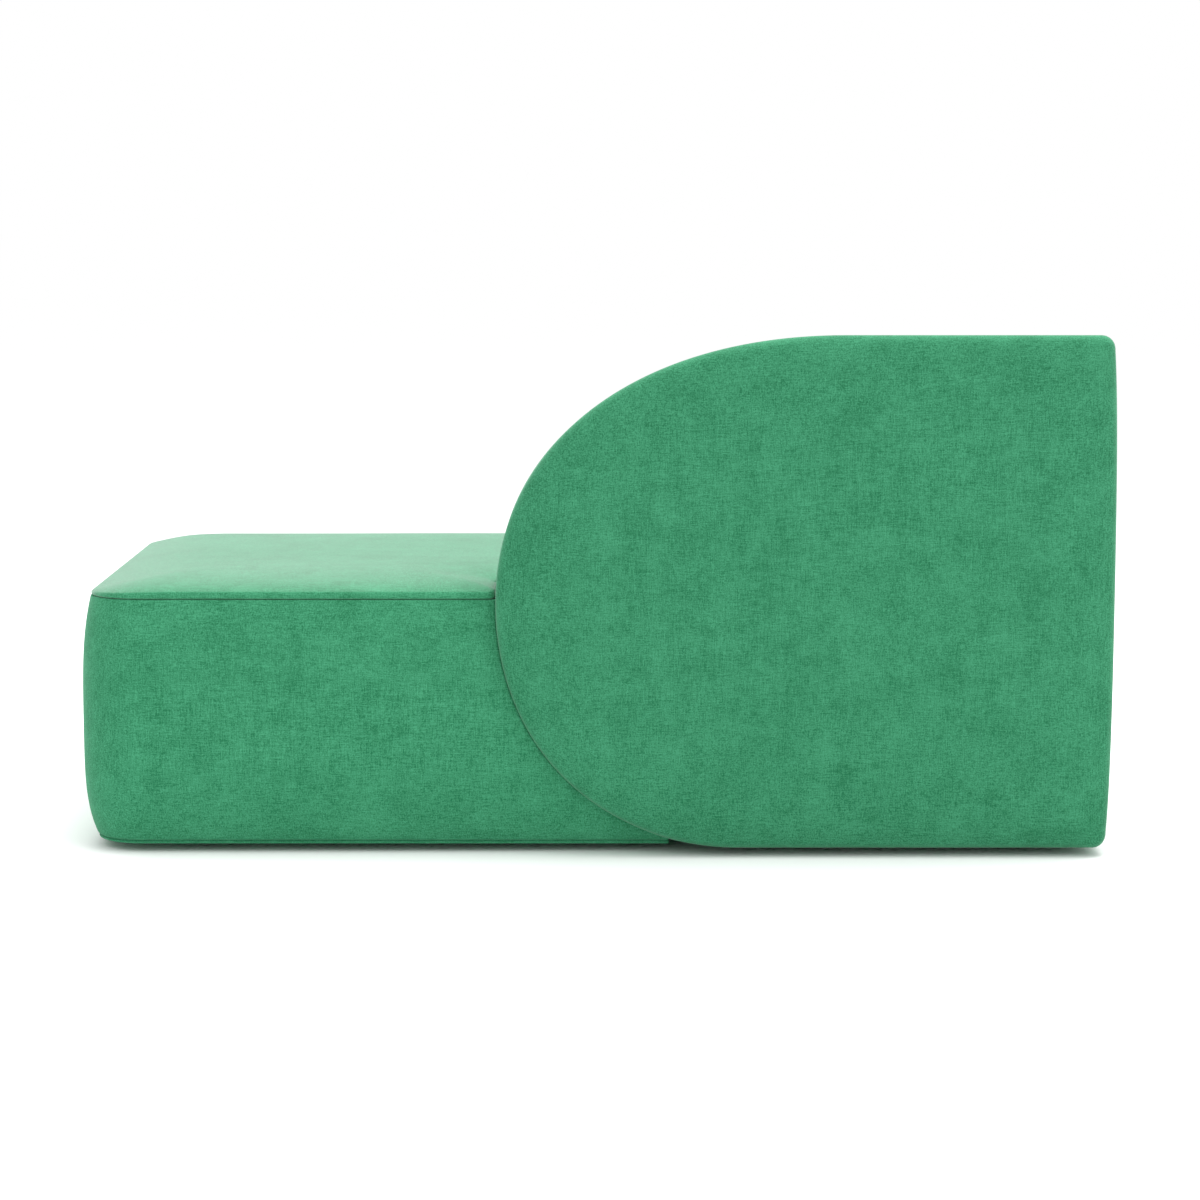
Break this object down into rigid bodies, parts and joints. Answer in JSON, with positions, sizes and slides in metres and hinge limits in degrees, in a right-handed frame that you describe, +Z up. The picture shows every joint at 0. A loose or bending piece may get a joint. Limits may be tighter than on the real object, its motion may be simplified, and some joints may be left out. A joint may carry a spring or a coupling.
{
  "type": "daybed",
  "caption": "Upholstered daybed: a long padded seat block with rounded corners, and a D-shaped padded back let into its rear edge towards one end.",
  "frame": {"origin": "on the floor, under the middle of the whole daybed", "axes": "+X along the seat, from its open foot end to the end with the back; +Y from the back to the open front; +Z up"},
  "size_m": [1.674, 0.9, 0.844],
  "materials": {
    "cover_fabric": "short-pile woven chenille, mid green",
    "polyester_fibre": "loose white fibre sheet",
    "seat_foam": "open-cell foam, pale yellow",
    "support_foam": "open-cell foam, pale grey",
    "felt": "needled grey felt",
    "dust_cloth": "black spun-bonded cloth",
    "softwood": "planed softwood",
    "plywood": "plywood",
    "hardboard": "bent hardboard",
    "webbing": "woven elastic strap",
    "tack_strip": "pressed card strip",
    "zinc_steel": "zinc plated steel",
    "black_nylon": "matt black moulded plastic"
  },
  "bodies": {
    "root": {"seat_top_cover": "cover_fabric", "seat_side_cover": "cover_fabric", "dust_cover": "dust_cloth", "side_padding": "support_foam", "felt_pad": "felt", "seat_foam_base": "seat_foam", "seat_foam_top": "seat_foam", "seat_fibre_wrap": "polyester_fibre", "front_rail": "softwood", "left_end_rail": "softwood", "right_end_rail": "softwood", "rear_rail": "softwood", "return_rail": "softwood", "spine_rail": "softwood", "cross_bearer_1": "softwood", "cross_bearer_2": "softwood", "cross_bearer_3": "softwood", "cross_bearer_4": "softwood", "corner_blocks": "softwood", "frame_screws": "zinc_steel", "elastic_webbing": "webbing", "tack_strips": "tack_strip", "back_rear_cover": "cover_fabric", "back_band_cover": "cover_fabric", "back_front_cover": "cover_fabric", "back_rear_padding": "polyester_fibre", "back_front_foam": "support_foam", "back_edge_padding": "support_foam", "back_rear_board": "plywood", "back_front_board": "plywood", "bent_edge_strip": "hardboard", "back_top_rail": "softwood", "back_bottom_rail": "softwood", "back_end_post": "softwood", "back_middle_stud": "softwood", "back_left_stud": "softwood", "back_bolts": "zinc_steel", "washers": "zinc_steel", "spacers": "softwood", "t_nuts": "zinc_steel", "glides": "black_nylon", "glide_screws": "zinc_steel"}
  },
  "joints": []
}
